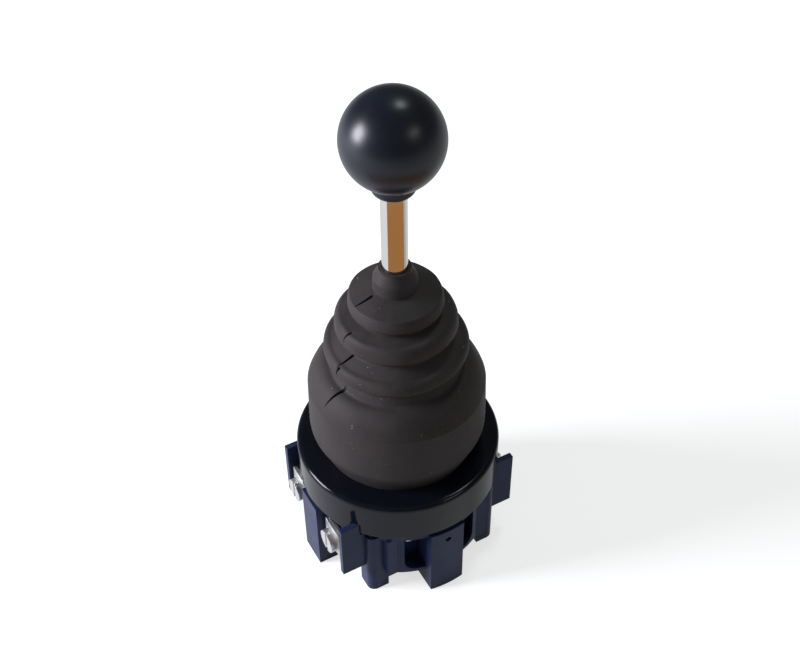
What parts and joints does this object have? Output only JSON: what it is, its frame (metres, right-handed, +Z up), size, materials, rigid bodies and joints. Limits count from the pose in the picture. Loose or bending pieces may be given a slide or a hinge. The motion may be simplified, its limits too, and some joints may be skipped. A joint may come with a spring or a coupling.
{
  "type": "industrial joystick",
  "caption": "Panel joystick: ball knob on a chromed rod, ribbed rubber boot, clamping ring and a finned contact base with screw terminals.",
  "frame": {"origin": "centre of the underside of the feet of the base, on the axis of the lever", "axes": "+Z up along the lever, +X towards one pair of side terminals, +Y towards one end block"},
  "size_m": [0.0518, 0.0516, 0.1359],
  "materials": {
    "bezel_abs": "glossy injection-moulded blue-black ABS",
    "housing_abs": "semi-gloss injection-moulded blue-black ABS",
    "boot_rubber": "matte moulded dark brown-black rubber",
    "seal_rubber": "matte black sealing rubber",
    "chrome": "polished chrome plate on steel",
    "knob_phenolic": "satin blue-black moulded phenolic",
    "zinc_steel": "bright zinc plated steel",
    "steel": "ground steel",
    "brass": "stamped brass",
    "acetal": "natural white acetal"
  },
  "bodies": {
    "housing": {"base_housing": "housing_abs", "bottom_cover": "housing_abs", "cover_screws": "zinc_steel", "pivot_housing": "housing_abs", "gate_plate": "steel", "ring_gasket": "seal_rubber", "bezel_ring": "bezel_abs", "ring_screws": "zinc_steel", "boot": "boot_rubber", "gimbal_pins": "steel", "x_springs": "steel", "y_springs": "steel", "x_terminals": "brass", "x_washers": "zinc_steel", "x_terminal_screws": "zinc_steel", "y_terminals": "brass", "y_washers": "zinc_steel", "y_terminal_screws": "zinc_steel"},
    "gimbal": {"gimbal_ring": "steel", "lever_pin": "steel"},
    "lever": {"lever_rod": "chrome", "lever_hub": "acetal", "actuator_ball": "acetal", "knob_insert": "brass", "ball_knob": "knob_phenolic"},
    "x_carriage": {"x_slider": "acetal", "x_bridges": "brass"},
    "y_carriage": {"y_slider": "acetal", "y_bridges": "brass"}
  },
  "joints": [
    {"name": "tilt_y", "type": "hinge", "parent": "housing", "child": "gimbal", "pos_m": [0, 0, 0.0256], "axis": [1, 0, 0], "range_deg": [-12, 12], "stiffness_Nm_per_rad": 1.2, "deforming": ["boot", "y_springs"]},
    {"name": "tilt_x", "type": "hinge", "parent": "gimbal", "child": "lever", "pos_m": [0, 0, 0.0256], "axis": [0, 1, 0], "range_deg": [-12, 12], "stiffness_Nm_per_rad": 1.2, "deforming": ["boot", "x_springs"]},
    {"name": "x_slide", "type": "slide", "parent": "housing", "child": "x_carriage", "axis": [-1, 0, 0], "range_m": [-0.00293, 0.00293]},
    {"name": "y_slide", "type": "slide", "parent": "housing", "child": "y_carriage", "axis": [0, 1, 0], "range_m": [-0.00293, 0.00293]}
  ],
  "couplings": [
    {"joint": "x_slide", "follows": "tilt_x", "m_per_rad": 0.014},
    {"joint": "y_slide", "follows": "tilt_y", "m_per_rad": 0.014}
  ]
}
